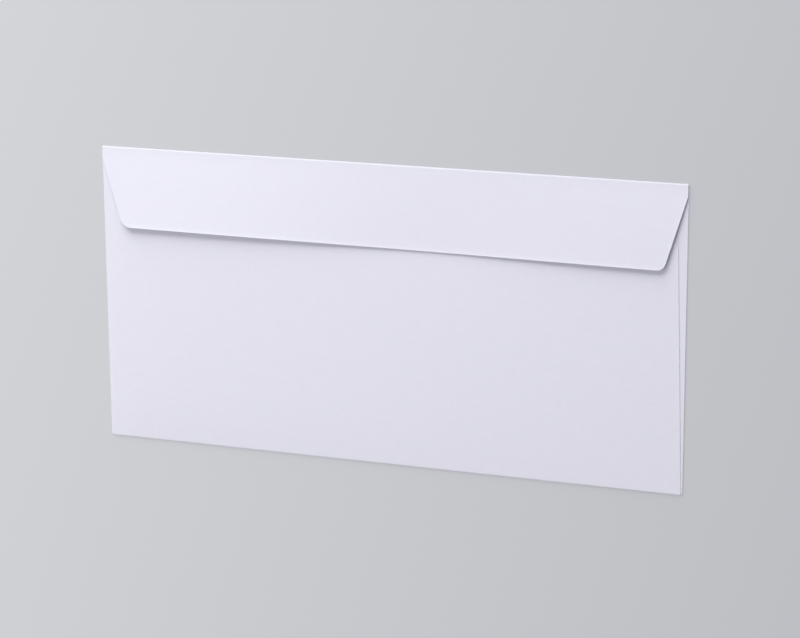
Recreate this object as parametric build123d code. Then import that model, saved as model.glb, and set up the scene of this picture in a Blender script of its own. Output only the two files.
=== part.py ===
from build123d import *
import math
import os

# A wallet envelope for a sheet folded in three: one cut blank of paper, folded and glued, empty,
# with its closing flap folded over but not stuck down. It lies on its address side.
# X runs along the flap fold, Y from the foot fold up to the flap fold, and Z up through the plies.
# The origin is the middle of the outline, on the surface that the envelope lies on. Millimetres.

# Outline of the closed envelope
width = 220.0
height = 110.0

# The paper, and the air left between its plies at the folds
paper = 0.12
pocket_gap = 0.15
flap_gap = 0.10

# Closing flap
flap_depth = 29.9
flap_inset = 0.05
flap_shoulder = 4.2
flap_side_angle = 17.4
flap_corner_radius = 3.7
flap_spring_angle = 3.25

# Back panel, folded up from the foot and glued to the side flaps
throat_drop = 18.0
back_inset = 0.7
back_side_angle = 1.7
throat_corner_radius = 5.0

# Side flaps, folded in from the front panel under the back panel
side_flap_width = 17.0
side_flap_foot_drop = 0.4
side_flap_top_drop = 3.2
side_flap_end_angle = 25.0
side_flap_corner_radius = 3.0

# Heights of the undersides of the plies that lie over the front panel
side_flap_floor = paper + pocket_gap
back_floor = side_flap_floor + paper
flap_floor = back_floor + paper + flap_gap

# Outer radii of the folds: each turns the sheet from the front panel up to its own ply
side_fold_radius = (side_flap_floor + paper) / 2
foot_fold_radius = (back_floor + paper) / 2
flap_fold_radius = (flap_floor + paper) / 2

# Lines where the flat front panel ends and its folds begin
side_line = width / 2 - side_fold_radius
foot_line = foot_fold_radius - height / 2
flap_line = height / 2 - flap_fold_radius


def ply(shape, floor):
    """A flat stretch of the sheet: a shape in plan, one paper thick, with its underside at floor."""
    return Pos(0, 0, floor) * extrude(shape, paper)


def fold(radius, turn, length):
    """A fold along X: the sheet leaves level towards +Y, and turns upwards through turn degrees."""
    with BuildPart() as bend:
        with BuildSketch(Plane.YZ):
            with BuildLine():
                outer = CenterArc((0, 0), radius, -90, turn)
                inner = CenterArc((0, 0), radius - paper, -90, turn)
                Line(outer @ 0, inner @ 0)
                Line(outer @ 1, inner @ 1)
            make_face()
        extrude(amount=length / 2, both=True)
    return Pos(0, 0, radius) * bend.part


def outline(corners, rounded, radius):
    """A closed outline in plan, with the corners listed in rounded turned to arcs."""
    face = make_face(Polyline(*corners, close=True))
    chosen = [face.vertices().sort_by_distance(corner)[0] for corner in rounded]
    return fillet(chosen, radius)


def front_panel():
    """The address side, flat on the table between the four fold lines."""
    depth = flap_line - foot_line
    middle = (flap_line + foot_line) / 2
    return ply(Pos(0, middle) * Rectangle(2 * side_line, depth), 0)


def side_flap():
    """The right side flap with its fold, its free corners cut back at a slant."""
    slant = side_flap_width * math.tan(math.radians(side_flap_end_angle))
    foot = side_flap_foot_drop - height / 2
    top = height / 2 - side_flap_top_drop
    free_edge = width / 2 - side_flap_width
    foot_corner = (free_edge, foot + slant)
    top_corner = (free_edge, top - slant)
    corners = [(side_line, foot), (side_line, top), top_corner, foot_corner]
    flat = ply(outline(corners, [top_corner, foot_corner], side_flap_corner_radius), side_flap_floor)
    bend = Rot(0, 0, -90) * fold(side_fold_radius, 180, top - foot)
    return Pos(side_line, (foot + top) / 2) * bend + flat


def back_panel():
    """The pocket's outer wall with the foot fold, drawn in a little towards its open top."""
    throat = height / 2 - throat_drop
    foot_half = width / 2 - back_inset
    throat_half = foot_half - (throat - foot_line) * math.tan(math.radians(back_side_angle))
    top_corners = [(throat_half, throat), (-throat_half, throat)]
    corners = [(-foot_half, foot_line), (foot_half, foot_line), *top_corners]
    flat = ply(outline(corners, top_corners, throat_corner_radius), back_floor)
    bend = Rot(0, 0, 180) * fold(foot_fold_radius, 180, 2 * foot_half)
    return Pos(0, foot_line) * bend + flat


def closing_flap():
    """The flap with its fold, which stays open by the spring angle, so the free edge stands off."""
    turn = 180 - flap_spring_angle
    half = width / 2 - flap_inset
    free_edge = height / 2 - flap_depth
    shoulder = height / 2 - flap_shoulder
    free_half = half - (shoulder - free_edge) * math.tan(math.radians(flap_side_angle))
    free_corners = [(-free_half, free_edge), (free_half, free_edge)]
    corners = [(half, shoulder), (half, height / 2), (-half, height / 2), (-half, shoulder)]
    shape = outline([*free_corners, *corners], free_corners, flap_corner_radius)

    # The folded sheet starts out as wide and as deep as the envelope, and is then cut to the outline.
    bend = Pos(0, flap_line) * fold(flap_fold_radius, turn, width)
    bend_end = Pos(0, flap_line, flap_fold_radius) * Rot(-flap_spring_angle, 0, 0)
    sheet = Pos(0, -height / 2, flap_fold_radius - paper / 2) * Box(width, height, paper)
    stock = bend + bend_end * sheet
    room = extrude(shape, stock.bounding_box().max.Z * 2)
    return stock & room


def envelope():
    """The whole blank, folded. The back panel and the side flaps are one solid where they are glued."""
    right = side_flap()
    left = mirror(right, about=Plane.YZ)
    return front_panel() + right + left + back_panel() + closing_flap()


os.makedirs("parts", exist_ok=True)
export_step(envelope(), "parts/envelope.step")
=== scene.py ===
import math

import bmesh
import bpy
from mathutils import Matrix, Vector, noise


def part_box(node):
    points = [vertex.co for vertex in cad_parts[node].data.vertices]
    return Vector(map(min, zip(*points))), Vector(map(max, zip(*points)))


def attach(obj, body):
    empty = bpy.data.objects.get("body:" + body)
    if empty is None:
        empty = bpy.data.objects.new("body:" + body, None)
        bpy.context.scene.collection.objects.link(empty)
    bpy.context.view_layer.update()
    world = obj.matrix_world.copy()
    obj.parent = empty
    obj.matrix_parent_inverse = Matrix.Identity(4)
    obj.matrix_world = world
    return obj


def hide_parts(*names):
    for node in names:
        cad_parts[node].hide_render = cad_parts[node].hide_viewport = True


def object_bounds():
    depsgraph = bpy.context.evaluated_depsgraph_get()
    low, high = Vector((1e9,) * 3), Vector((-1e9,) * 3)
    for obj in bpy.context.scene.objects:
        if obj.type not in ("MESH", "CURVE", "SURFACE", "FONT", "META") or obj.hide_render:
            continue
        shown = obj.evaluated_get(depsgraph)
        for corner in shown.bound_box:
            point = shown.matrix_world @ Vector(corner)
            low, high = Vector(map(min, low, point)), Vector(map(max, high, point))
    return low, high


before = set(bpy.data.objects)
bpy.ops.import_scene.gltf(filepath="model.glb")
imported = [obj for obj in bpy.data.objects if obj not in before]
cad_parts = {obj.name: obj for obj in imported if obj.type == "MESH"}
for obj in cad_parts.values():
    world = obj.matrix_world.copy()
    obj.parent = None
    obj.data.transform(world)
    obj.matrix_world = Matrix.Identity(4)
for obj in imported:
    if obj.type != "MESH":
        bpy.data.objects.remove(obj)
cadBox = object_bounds()

millimetre = 0.001
closeEnough = 0.001             # millimetres within which two places on the sheet count as one


# The folded sheet. It is folded at its real size in millimetres, and brought to metres at the end.

sheet = {
    "thickness": 0.12,
    "pocketGap": 0.15,          # air between the front panel and the side flaps at their folds
    "glueGap": 0.01,            # between the side flaps and the back panel
    "flapGap": 0.10,            # air between the back panel and the closing flap at its fold
    "foldSteps": 10,
    "meshStep": 2.5,
    "foldRows": (0.2, 0.7),     # how far inside each fold the close rows of the mesh lie
    "rimRows": (0.4, 0.9, 1.6),  # and inside each cut edge that shows
    "smoothAngle": 40,          # degrees
}

closingFlap = {
    "depth": 29.95,
    "askew": 0.0042,            # how far its free edge turns away from the fold's direction, in radians
    "inset": 0.05,
    "shoulder": 4.2,
    "sideAngle": 17.4,          # degrees
    "leftCornerRadius": 4.2,
    "rightCornerRadius": 3.1,
    "cornerSteps": 10,
    "leastLift": 0.19,          # how far the free edge has sprung open where it lies closest
    "leftLift": 1.10,           # how much further it has sprung open to the left and right of there
    "rightLift": 0.74,
    "leftReach": 52.0,
    "rightReach": 45.0,
    "rightBow": 0.35,           # how much steeper the right end leaves its fold than a flat flap would
    "bowFrom": 60.0,            # X where that bow sets in
    "bowReach": 40.0,
    "closestAt": 18.0,          # X of the place where it lies closest
    "foldEase": 1.2,            # length over which the spring angle sets in after the fold
    "rimLift": 0.08,            # the slight curl of the cut edge
    "rimReach": 0.7,
    "rimStart": 2.0,            # length over which it sets in past the shoulder
    "creaseShare": 0.55,        # how much of the fold's height is left where the crease is pressed
    "creaseReach": 0.4,
}

backPanel = {
    "throatDrop": 18.0,
    "inset": 0.7,
    "sideAngle": 1.7,           # degrees
    "cornerRadius": 5.0,
    "cornerSteps": 8,
    "bulge": 0.27,              # how far the empty pocket stands open away from its folds
    "bulgeLean": -0.18,         # how much more it does so at its right end than in its middle
    "bulgeReach": 11.0,
    "unevenness": 0.06,         # slow waves in the bulge
    "waveLength": 70.0,
    "leftRimLift": 0.02,        # the unglued strip along each side edge stands up a little
    "rightRimLift": 0.03,
    "rimReach": 1.6,
    "rimStart": 12.0,           # length over which it sets in past the foot fold
}

sideFlap = {
    "width": 17.0,
    "footDrop": 0.4,
    "topDrop": 3.2,
    "endAngle": 25.0,           # degrees
    "cornerRadius": 3.0,
    "cornerSteps": 6,
}

lowCorner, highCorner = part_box("envelope")
halfWidth = (highCorner[0] - lowCorner[0]) / 2 / millimetre
halfHeight = (highCorner[1] - lowCorner[1]) / 2 / millimetre

# Levels of the middle of the paper in each ply
halfPaper = sheet["thickness"] / 2
frontLevel = halfPaper
backLevel = 2 * sheet["thickness"] + sheet["pocketGap"] + halfPaper
sideLevel = backLevel - sheet["thickness"] - sheet["glueGap"]
flapLevel = backLevel + sheet["thickness"] + sheet["flapGap"]

# Lines where the folds begin, and where the back panel and the two kinds of flap end
sideLine = halfWidth - halfPaper - (sideLevel - frontLevel) / 2
footLine = halfPaper + (backLevel - frontLevel) / 2 - halfHeight
flapLine = halfHeight - halfPaper - (flapLevel - frontLevel) / 2
sideFoot = sideFlap["footDrop"] - halfHeight
sideTop = halfHeight - sideFlap["topDrop"]
throat = halfHeight - backPanel["throatDrop"]
footHalf = halfWidth - backPanel["inset"]
backTaper = math.radians(backPanel["sideAngle"])
shoulderHalf = halfWidth - closingFlap["inset"]
shoulderLine = halfHeight - closingFlap["shoulder"]
freeEdge = halfHeight - closingFlap["depth"]
flapSlant = math.radians(closingFlap["sideAngle"])


def chooseEdges(piece, test):
    # Selects the free edges of the sheet whose two ends both pass the test.
    made = bmesh.from_edit_mesh(piece.data)
    bpy.ops.mesh.select_all(action="DESELECT")
    for edge in made.edges:
        edge.select_set(edge.is_boundary and all(test(corner.co) for corner in edge.verts))
    bmesh.update_edit_mesh(piece.data)


def chooseCorners(piece, test):
    made = bmesh.from_edit_mesh(piece.data)
    bpy.ops.mesh.select_all(action="DESELECT")
    for corner in made.verts:
        corner.select_set(test(corner.co))
    bmesh.update_edit_mesh(piece.data)


def chooseFaces(piece, test):
    made = bmesh.from_edit_mesh(piece.data)
    bpy.ops.mesh.select_all(action="DESELECT")
    for face in made.faces:
        face.select_set(all(test(corner.co) for corner in face.verts))
    bmesh.update_edit_mesh(piece.data)


def cut(place, normal):
    bpy.ops.mesh.bisect(plane_co=place, plane_no=normal, threshold=closeEnough / 2)


def cutWhole(place, normal):
    bpy.ops.mesh.select_all(action="SELECT")
    cut(place, normal)


def foldOver(centre, axis):
    # Turns the chosen edges over by half a turn, and leaves the last of them chosen.
    bpy.ops.mesh.spin(steps=sheet["foldSteps"], angle=math.pi, center=centre, axis=axis)


def reach(x, y):
    # Draws a new stretch of the sheet out of the chosen edges.
    bpy.ops.mesh.extrude_region_move(TRANSFORM_OT_translate={"value": (x, y, 0)})


def narrow(x, y, centre):
    # Scales what is chosen towards a centre.
    bpy.ops.transform.resize(value=(x, y, 1), center_override=centre)


def roundCorners(piece, test, radius, insideAngle, steps):
    chooseCorners(piece, test)
    length = radius / math.tan(insideAngle / 2)
    bpy.ops.mesh.bevel(offset=length, offset_type="OFFSET", segments=steps, affect="VERTICES")


def near(a, b):
    return abs(a - b) < closeEnough


def makeFrontPanel():
    bpy.ops.mesh.primitive_plane_add(size=1, location=(0, (flapLine + footLine) / 2, frontLevel))
    piece = bpy.context.object
    piece.scale = (2 * sideLine, flapLine - footLine, 1)
    bpy.ops.object.transform_apply(location=True, rotation=True, scale=True)
    bpy.ops.object.mode_set(mode="EDIT")
    for y in (sideFoot, sideTop):
        cutWhole((0, y, 0), (0, 1, 0))
    for x in (-footHalf, footHalf):
        cutWhole((x, 0, 0), (1, 0, 0))
    return piece


def addSideFlap(piece, side):
    # side is -1 for the left flap and 1 for the right one
    fromFoot = sideFoot - closeEnough
    toTop = sideTop + closeEnough
    chooseEdges(piece, lambda at: near(at.x, side * sideLine) and fromFoot < at.y < toTop)
    foldOver((side * sideLine, 0, (frontLevel + sideLevel) / 2), (0, side, 0))
    length = sideFlap["width"] - (halfWidth - sideLine)
    reach(-side * length, 0)
    slant = length * math.tan(math.radians(sideFlap["endAngle"]))
    middle = (sideFoot + sideTop) / 2
    narrow(1, 1 - 2 * slant / (sideTop - sideFoot), (0, middle, 0))
    insideAngle = math.radians(90 + sideFlap["endAngle"])
    end = side * (halfWidth - sideFlap["width"])
    corners = lambda at: near(at.x, end) and near(at.z, sideLevel)
    roundCorners(piece, corners, sideFlap["cornerRadius"], insideAngle, sideFlap["cornerSteps"])


def addBackPanel(piece):
    onFootLine = lambda at: near(at.y, footLine) and near(at.z, frontLevel)
    chooseEdges(piece, lambda at: onFootLine(at) and abs(at.x) < footHalf + closeEnough)
    foldOver((0, footLine, (frontLevel + backLevel) / 2), (1, 0, 0))
    length = throat - footLine
    reach(0, length)
    throatHalf = footHalf - length * math.tan(backTaper)
    narrow(throatHalf / footHalf, 1, (0, 0, 0))
    insideAngle = math.radians(90 + backPanel["sideAngle"])
    corners = lambda at: near(at.y, throat) and near(abs(at.x), throatHalf)
    roundCorners(piece, corners, backPanel["cornerRadius"], insideAngle, backPanel["cornerSteps"])


def addClosingFlap(piece):
    chooseEdges(piece, lambda at: near(at.y, flapLine) and near(at.z, frontLevel))
    foldOver((0, flapLine, (frontLevel + flapLevel) / 2), (-1, 0, 0))
    reach(0, shoulderLine - flapLine)
    reach(0, freeEdge - shoulderLine)
    freeHalf = shoulderHalf - (shoulderLine - freeEdge) * math.tan(flapSlant)
    narrow(freeHalf / sideLine, 1, (0, 0, 0))
    onFreeEdge = lambda at: near(at.y, freeEdge) and near(at.z, flapLevel)
    chooseCorners(piece, lambda at: onFreeEdge(at) and abs(at.x) < freeHalf - closeEnough)
    bpy.ops.mesh.dissolve_verts()
    insideAngle = math.radians(90 + closingFlap["sideAngle"])
    for side, radius in ((-1, closingFlap["leftCornerRadius"]), (1, closingFlap["rightCornerRadius"])):
        corners = lambda at: onFreeEdge(at) and near(at.x, side * freeHalf)
        roundCorners(piece, corners, radius, insideAngle, closingFlap["cornerSteps"])


def divideSheet(piece):
    # Even rows and columns through all the plies, and close rows along the folds and the cut edges.
    step = sheet["meshStep"]
    columns = int(halfWidth / step)
    rows = int(halfHeight / step)
    for column in range(-columns, columns + 1):
        cutWhole((column * step, 0, 0), (1, 0, 0))
    for row in range(-rows, rows + 1):
        cutWhole((0, row * step, 0), (0, 1, 0))

    for inside in sheet["foldRows"]:
        for side in (-1, 1):
            cutWhole((side * (sideLine - inside), 0, 0), (1, 0, 0))
        cutWhole((0, footLine + inside, 0), (0, 1, 0))
        cutWhole((0, flapLine - inside, 0), (0, 1, 0))

    onFlap = lambda at: at.z > flapLevel - closeEnough
    onBack = lambda at: near(at.z, backLevel)
    for inside in sheet["rimRows"]:
        chooseFaces(piece, onFlap)
        cut((0, freeEdge + inside, 0), (0, 1, 0))
        for side in (-1, 1):
            shoulder = Vector((side * shoulderHalf, shoulderLine, 0))
            outward = Vector((side * math.cos(flapSlant), -math.sin(flapSlant), 0))
            chooseFaces(piece, onFlap)
            cut(shoulder - inside * outward, outward)
            foot = Vector((side * footHalf, footLine, 0))
            outward = Vector((side * math.cos(backTaper), math.sin(backTaper), 0))
            chooseFaces(piece, onBack)
            cut(foot - inside * outward, outward)


def ease(distance, length):
    # Climbs from 0 at no distance towards 1 well past the length.
    return 1 - math.exp(-max(distance, 0) / length)


def pocketBulge(x, y):
    # The empty pocket stands open a little, away from the folds at its sides and foot.
    fromSide = halfWidth - abs(x)
    fromFoot = halfHeight + y
    rise = ease(fromSide, backPanel["bulgeReach"]) * ease(fromFoot, backPanel["bulgeReach"])
    fromTop = halfHeight - y
    rise *= ease(fromTop, backPanel["bulgeReach"])
    place = Vector((x, y, 0)) / backPanel["waveLength"]
    most = backPanel["bulge"] + backPanel["bulgeLean"] * x / halfWidth
    return rise * (most + backPanel["unevenness"] * noise.noise(place))


def flapLift(x, y):
    # The closing flap has sprung open, least a little to the right of its middle.
    fromFold = flapLine - y
    offset = x - closingFlap["closestAt"]
    more = closingFlap["rightLift"] if offset > 0 else closingFlap["leftLift"]
    span = closingFlap["rightReach"] if offset > 0 else closingFlap["leftReach"]
    atEdge = closingFlap["leastLift"] + more * (1 - math.exp(-((offset / span) ** 2)))
    length = closingFlap["depth"] - (halfHeight - flapLine)
    straight = fromFold - closingFlap["foldEase"] * ease(fromFold, closingFlap["foldEase"])
    share = max(straight, 0) / length
    bowed = min(max((x - closingFlap["bowFrom"]) / closingFlap["bowReach"], 0), 1)
    share += closingFlap["rightBow"] * bowed * share * (1 - share)
    return (1 - share) * pocketBulge(x, flapLine) + share * (pocketBulge(x, freeEdge) + atEdge)


def flapRim(x, y):
    # The cut edge of the closing flap curls up a little.
    fromShoulder = shoulderLine - y
    side = shoulderHalf - max(fromShoulder, 0) * math.tan(flapSlant)
    fromSide = (side - abs(x)) * math.cos(flapSlant)
    fromEdge = y - freeEdge
    settled = ease(fromShoulder, closingFlap["rimStart"])
    nearest = min(fromSide, fromEdge)
    return closingFlap["rimLift"] * math.exp(-max(nearest, 0) / closingFlap["rimReach"]) * settled


def backRim(x, y):
    # The back panel's side edges stand up from the side flaps where no glue reaches.
    side = footHalf - (y - footLine) * math.tan(backTaper)
    fromSide = (side - abs(x)) * math.cos(backTaper)
    lift = backPanel["rightRimLift"] if x > 0 else backPanel["leftRimLift"]
    settled = ease(halfHeight + y, backPanel["rimStart"])
    return lift * max(1 - fromSide / backPanel["rimReach"], 0) * settled


def pressCrease(y, z):
    # Brings the two plies together towards the crease of the closing flap.
    width = closingFlap["creaseReach"]
    share = min(max((y - (halfHeight - width)) / width, 0), 1)
    share = share * share * (3 - 2 * share)
    middle = (frontLevel + flapLevel) / 2
    return (closingFlap["creaseShare"] - 1) * share * (z - middle)


def settleSheet(piece):
    # Moves each point of the folded sheet to where it comes to rest.
    made = bmesh.from_edit_mesh(piece.data)
    for corner in made.verts:
        x, y, z = corner.co
        onBack = near(z, backLevel) and y > footLine + closeEnough
        upper = min(max((z - frontLevel) / (sideLevel - frontLevel), 0), 1)
        rise = pocketBulge(x, y) * upper
        if onBack:
            rise += backRim(x, y)
        if z > flapLevel - closeEnough:
            rise = flapLift(x, y) + flapRim(x, y)
            corner.co.y -= closingFlap["askew"] * x * (flapLine - y) / closingFlap["depth"]
        corner.co.z += rise + pressCrease(y, z)
    bmesh.update_edit_mesh(piece.data)


def makeSheet():
    piece = makeFrontPanel()
    for side in (-1, 1):
        addSideFlap(piece, side)
    addBackPanel(piece)
    addClosingFlap(piece)
    print("sheet folded")
    divideSheet(piece)
    settleSheet(piece)
    bpy.ops.mesh.select_all(action="SELECT")
    bpy.ops.mesh.normals_make_consistent(inside=False)
    bpy.ops.object.mode_set(mode="OBJECT")
    print("sheet settled")

    wall = piece.modifiers.new("paper", "SOLIDIFY")
    wall.thickness = sheet["thickness"]
    wall.offset = 0
    wall.use_even_offset = True
    bpy.ops.object.modifier_apply(modifier=wall.name)
    bpy.ops.object.mode_set(mode="EDIT")
    bpy.ops.mesh.select_all(action="SELECT")
    bpy.ops.mesh.normals_make_consistent(inside=False)
    bpy.ops.object.mode_set(mode="OBJECT")
    piece.scale = (millimetre, millimetre, millimetre)
    bpy.ops.object.transform_apply(location=True, rotation=True, scale=True)
    bpy.ops.object.shade_smooth_by_angle(angle=math.radians(sheet["smoothAngle"]))
    piece.name = "folded_sheet"
    piece.data.name = "folded_sheet"
    return piece


# Materials

class Wire:
    # A value on its way through a material, which Python's own signs add to, take from and multiply.
    def __init__(self, tree, socket=None):
        self.tree = tree
        self.socket = socket

    def node(self, kind, settings=None, inputs=None, output=0):
        made = self.tree.nodes.new(kind)
        for name, value in (settings or {}).items():
            setattr(made, name, value)
        for name, value in (inputs or {}).items():
            if isinstance(value, Wire):
                self.tree.links.new(value.socket, made.inputs[name])
            else:
                made.inputs[name].default_value = value
        return Wire(self.tree, made.outputs[output])

    def reckon(self, operation, first, second):
        return self.node("ShaderNodeMath", {"operation": operation}, {0: first, 1: second})

    def __add__(self, other):
        return self.reckon("ADD", self, other)

    def __radd__(self, other):
        return self.reckon("ADD", other, self)

    def __sub__(self, other):
        return self.reckon("SUBTRACT", self, other)

    def __rsub__(self, other):
        return self.reckon("SUBTRACT", other, self)

    def __mul__(self, other):
        return self.reckon("MULTIPLY", self, other)

    def __rmul__(self, other):
        return self.reckon("MULTIPLY", other, self)


paperLook = {
    "colour": (0.845, 0.838, 0.925, 1),
    "shade": (0.800, 0.795, 0.885, 1),     # where the fibres lie thinner
    "formation": 0.0030,                   # size of the cloudy patches, in metres
    "cloudShare": 0.65,                    # how much of the shade follows them, and the rest the fibres
    "tooth": 0.00030,                      # size of the grain that the bump shows
    "toothHeight": 0.000032,
    "fibreHeight": 0.000017,
    "fibre": 0.00060,                      # size of the fibres across the sheet
    "fibreStretch": 2.5,                   # how much longer they are along the flap fold
    "roughness": 0.84,
    "roughnessSpread": 0.1,
    "specular": 0.3,
    "paintedCreaseShade": (0.545, 0.540, 0.600, 1),    # painted shade along the crease of the closing flap, which tones down the highlight that the light leaves on its fold
    "paintedShadeWidth": 0.0005,
    "paintedShadeCore": 0.00012,                 # how much of that width has the painted shade in full
}

floorLook = {
    "colour": (0.60, 0.605, 0.62, 1),
    "roughness": 0.9,
    "specular": 0.2,
    "leftGlow": (0.665, 0.679, 0.711, 1),  # painted light that the camera sees apart from its shading, lighter at the left end and darker at the right, as from lamps falling off
    "rightGlow": (0.528, 0.540, 0.575, 1),
    "glowReach": 0.16,                     # distance from the middle to each end of the gradient
    "glowShare": 0.65,
}


def newMaterial(name):
    made = bpy.data.materials.new(name)
    made.use_nodes = True
    made.node_tree.nodes.clear()
    return made, Wire(made.node_tree)


def finishMaterial(made, surface):
    out = made.node_tree.nodes.new("ShaderNodeOutputMaterial")
    made.node_tree.links.new(surface.socket, out.inputs["Surface"])
    return made


def makePaper():
    made, wire = newMaterial("uncoated_paper")
    place = wire.node("ShaderNodeTexCoord", output="Object")
    cloud = wire.node(
        "ShaderNodeTexNoise", None,
        {"Vector": place, "Scale": 1 / paperLook["formation"], "Detail": 3.0, "Roughness": 0.6},
    )
    stretch = (1 / paperLook["fibreStretch"], 1, 1)
    grain = wire.node("ShaderNodeMapping", {"vector_type": "POINT"}, {"Vector": place, "Scale": stretch})
    fibre = wire.node(
        "ShaderNodeTexNoise", None,
        {"Vector": grain, "Scale": 1 / paperLook["fibre"], "Detail": 2.0, "Distortion": 0.6},
    )
    tooth = wire.node(
        "ShaderNodeTexNoise", None,
        {"Vector": place, "Scale": 1 / paperLook["tooth"], "Detail": 2.0, "Roughness": 0.55},
    )
    thin = paperLook["cloudShare"] * cloud + (1 - paperLook["cloudShare"]) * fibre
    colour = wire.node(
        "ShaderNodeMix", {"data_type": "RGBA"},
        {"Factor": thin, "A": paperLook["colour"], "B": paperLook["shade"]}, "Result",
    )
    # Painted shade along the crease of the closing flap, darkest at the top edge, which tones down its
    # highlight
    paintedShadeMask = wire.node(
        "ShaderNodeMapRange", {"clamp": True},
        {
            "Value": wire.node("ShaderNodeSeparateXYZ", None, {0: place}, "Y"),
            "From Min": cadBox[1][1] - paperLook["paintedShadeWidth"],
            "From Max": cadBox[1][1] - paperLook["paintedShadeCore"],
        },
    )
    colour = wire.node(
        "ShaderNodeMix", {"data_type": "RGBA"},
        {"Factor": paintedShadeMask, "A": colour, "B": paperLook["paintedCreaseShade"]}, "Result",
    )
    height = paperLook["toothHeight"] * tooth + paperLook["fibreHeight"] * fibre
    bump = wire.node("ShaderNodeBump", None, {"Strength": 1.0, "Distance": 1.0, "Height": height})
    surface = wire.node(
        "ShaderNodeBsdfPrincipled", None,
        {
            "Base Color": colour,
            "Roughness": paperLook["roughness"] + paperLook["roughnessSpread"] * (fibre - 0.5),
            "Specular IOR Level": paperLook["specular"],
            "Normal": bump,
        },
    )
    return finishMaterial(made, surface)


def makeFloorMaterial():
    made, wire = newMaterial("pale_floor")
    surface = wire.node(
        "ShaderNodeBsdfPrincipled", None,
        {
            "Base Color": floorLook["colour"],
            "Roughness": floorLook["roughness"],
            "Specular IOR Level": floorLook["specular"],
        },
    )
    # Painted light, seen by the camera alone, so it puts no light on the object; it is lighter towards the
    # left and softens the object's shadow on the floor
    place = wire.node("ShaderNodeTexCoord", output="Object")
    across = wire.node("ShaderNodeSeparateXYZ", None, {0: place}, "X")
    turn = wire.node(
        "ShaderNodeMapRange", {"clamp": True},
        {"Value": across, "From Min": -floorLook["glowReach"], "From Max": floorLook["glowReach"]},
    )
    left = wire.node("ShaderNodeEmission", None, {"Color": floorLook["leftGlow"], "Strength": 1.0})
    right = wire.node("ShaderNodeEmission", None, {"Color": floorLook["rightGlow"], "Strength": 1.0})
    glow = wire.node("ShaderNodeMixShader", None, {0: turn, 1: left, 2: right})
    seen = wire.node("ShaderNodeLightPath", output="Is Camera Ray")
    mixed = wire.node("ShaderNodeMixShader", None, {0: floorLook["glowShare"] * seen, 1: surface, 2: glow})
    return finishMaterial(made, mixed)


# The studio

studio = {
    "floorSize": 8.0,
    "floorDrop": 0.00003,
    "keyPlace": (-0.30, 1.15, 0.42),
    "keySize": (1.1, 0.8),
    "keyPower": 23.4,
    "fillPlace": (-0.55, -0.1, 0.75),
    "fillSize": (0.6, 0.6),
    "fillPower": 2.0,
    "bouncePlace": (0.1, -1.15, 0.35),
    "bounceSize": (1.2, 0.5),
    "bouncePower": 2.0,
    "worldColour": (0.95, 0.95, 1.0),
    "worldStrength": 0.31,
}

cameraView = {
    "azimuth": 125.98,          # degrees round from the foot side
    "elevation": 65.03,
    "roll": -123.7,
    "distance": 0.9273,
    "aim": (0.005715, -0.000620, 0.0003),
    "lens": 117.5,
    "sensor": 36.0,
    "sight": (0.01, 50.0),      # nearest and farthest that it sees
}


def makeFloor():
    bpy.ops.object.select_all(action="DESELECT")
    bpy.ops.mesh.primitive_plane_add(size=studio["floorSize"], location=(0, 0, -studio["floorDrop"]))
    floor = bpy.context.object
    floor.name = "floor"
    floor.data.materials.append(makeFloorMaterial())


def makeLamp(name, place, size, power):
    lamp = bpy.data.lights.new(name, "AREA")
    lamp.shape = "RECTANGLE"
    lamp.size, lamp.size_y = size
    lamp.energy = power
    holder = bpy.data.objects.new(name, lamp)
    bpy.context.collection.objects.link(holder)
    holder.location = place
    holder.rotation_euler = (-Vector(place)).to_track_quat("-Z", "Y").to_euler()


def makeWorld():
    world = bpy.data.worlds.new("studio")
    bpy.context.scene.world = world
    world.use_nodes = True
    sky = world.node_tree.nodes["Background"]
    sky.inputs["Color"].default_value = (*studio["worldColour"], 1)
    sky.inputs["Strength"].default_value = studio["worldStrength"]


def makeCamera():
    lens = bpy.data.cameras.new("camera")
    lens.lens = cameraView["lens"]
    lens.sensor_width = cameraView["sensor"]
    lens.clip_start, lens.clip_end = cameraView["sight"]
    camera = bpy.data.objects.new("camera", lens)
    bpy.context.collection.objects.link(camera)
    azimuth = math.radians(cameraView["azimuth"])
    elevation = math.radians(cameraView["elevation"])
    back = Vector((
        math.sin(azimuth) * math.cos(elevation),
        -math.cos(azimuth) * math.cos(elevation),
        math.sin(elevation),
    ))
    turn = (-back).to_track_quat("-Z", "Y").to_matrix()
    roll = Matrix.Rotation(math.radians(cameraView["roll"]), 3, "Z")
    camera.matrix_world = Matrix.LocRotScale(
        Vector(cameraView["aim"]) + cameraView["distance"] * back, (turn @ roll).to_quaternion(), None,
    )
    bpy.context.scene.camera = camera


bpy.ops.object.select_all(action="DESELECT")
makeCamera()
print("camera placed")
paperSheet = makeSheet()
paperSheet.data.materials.append(makePaper())
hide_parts("envelope")
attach(paperSheet, "root")
makeFloor()
makeLamp("key", studio["keyPlace"], studio["keySize"], studio["keyPower"])
makeLamp("fill", studio["fillPlace"], studio["fillSize"], studio["fillPower"])
makeLamp("bounce", studio["bouncePlace"], studio["bounceSize"], studio["bouncePower"])
makeWorld()
bpy.context.scene.view_settings.view_transform = "Standard"
print("studio lit")
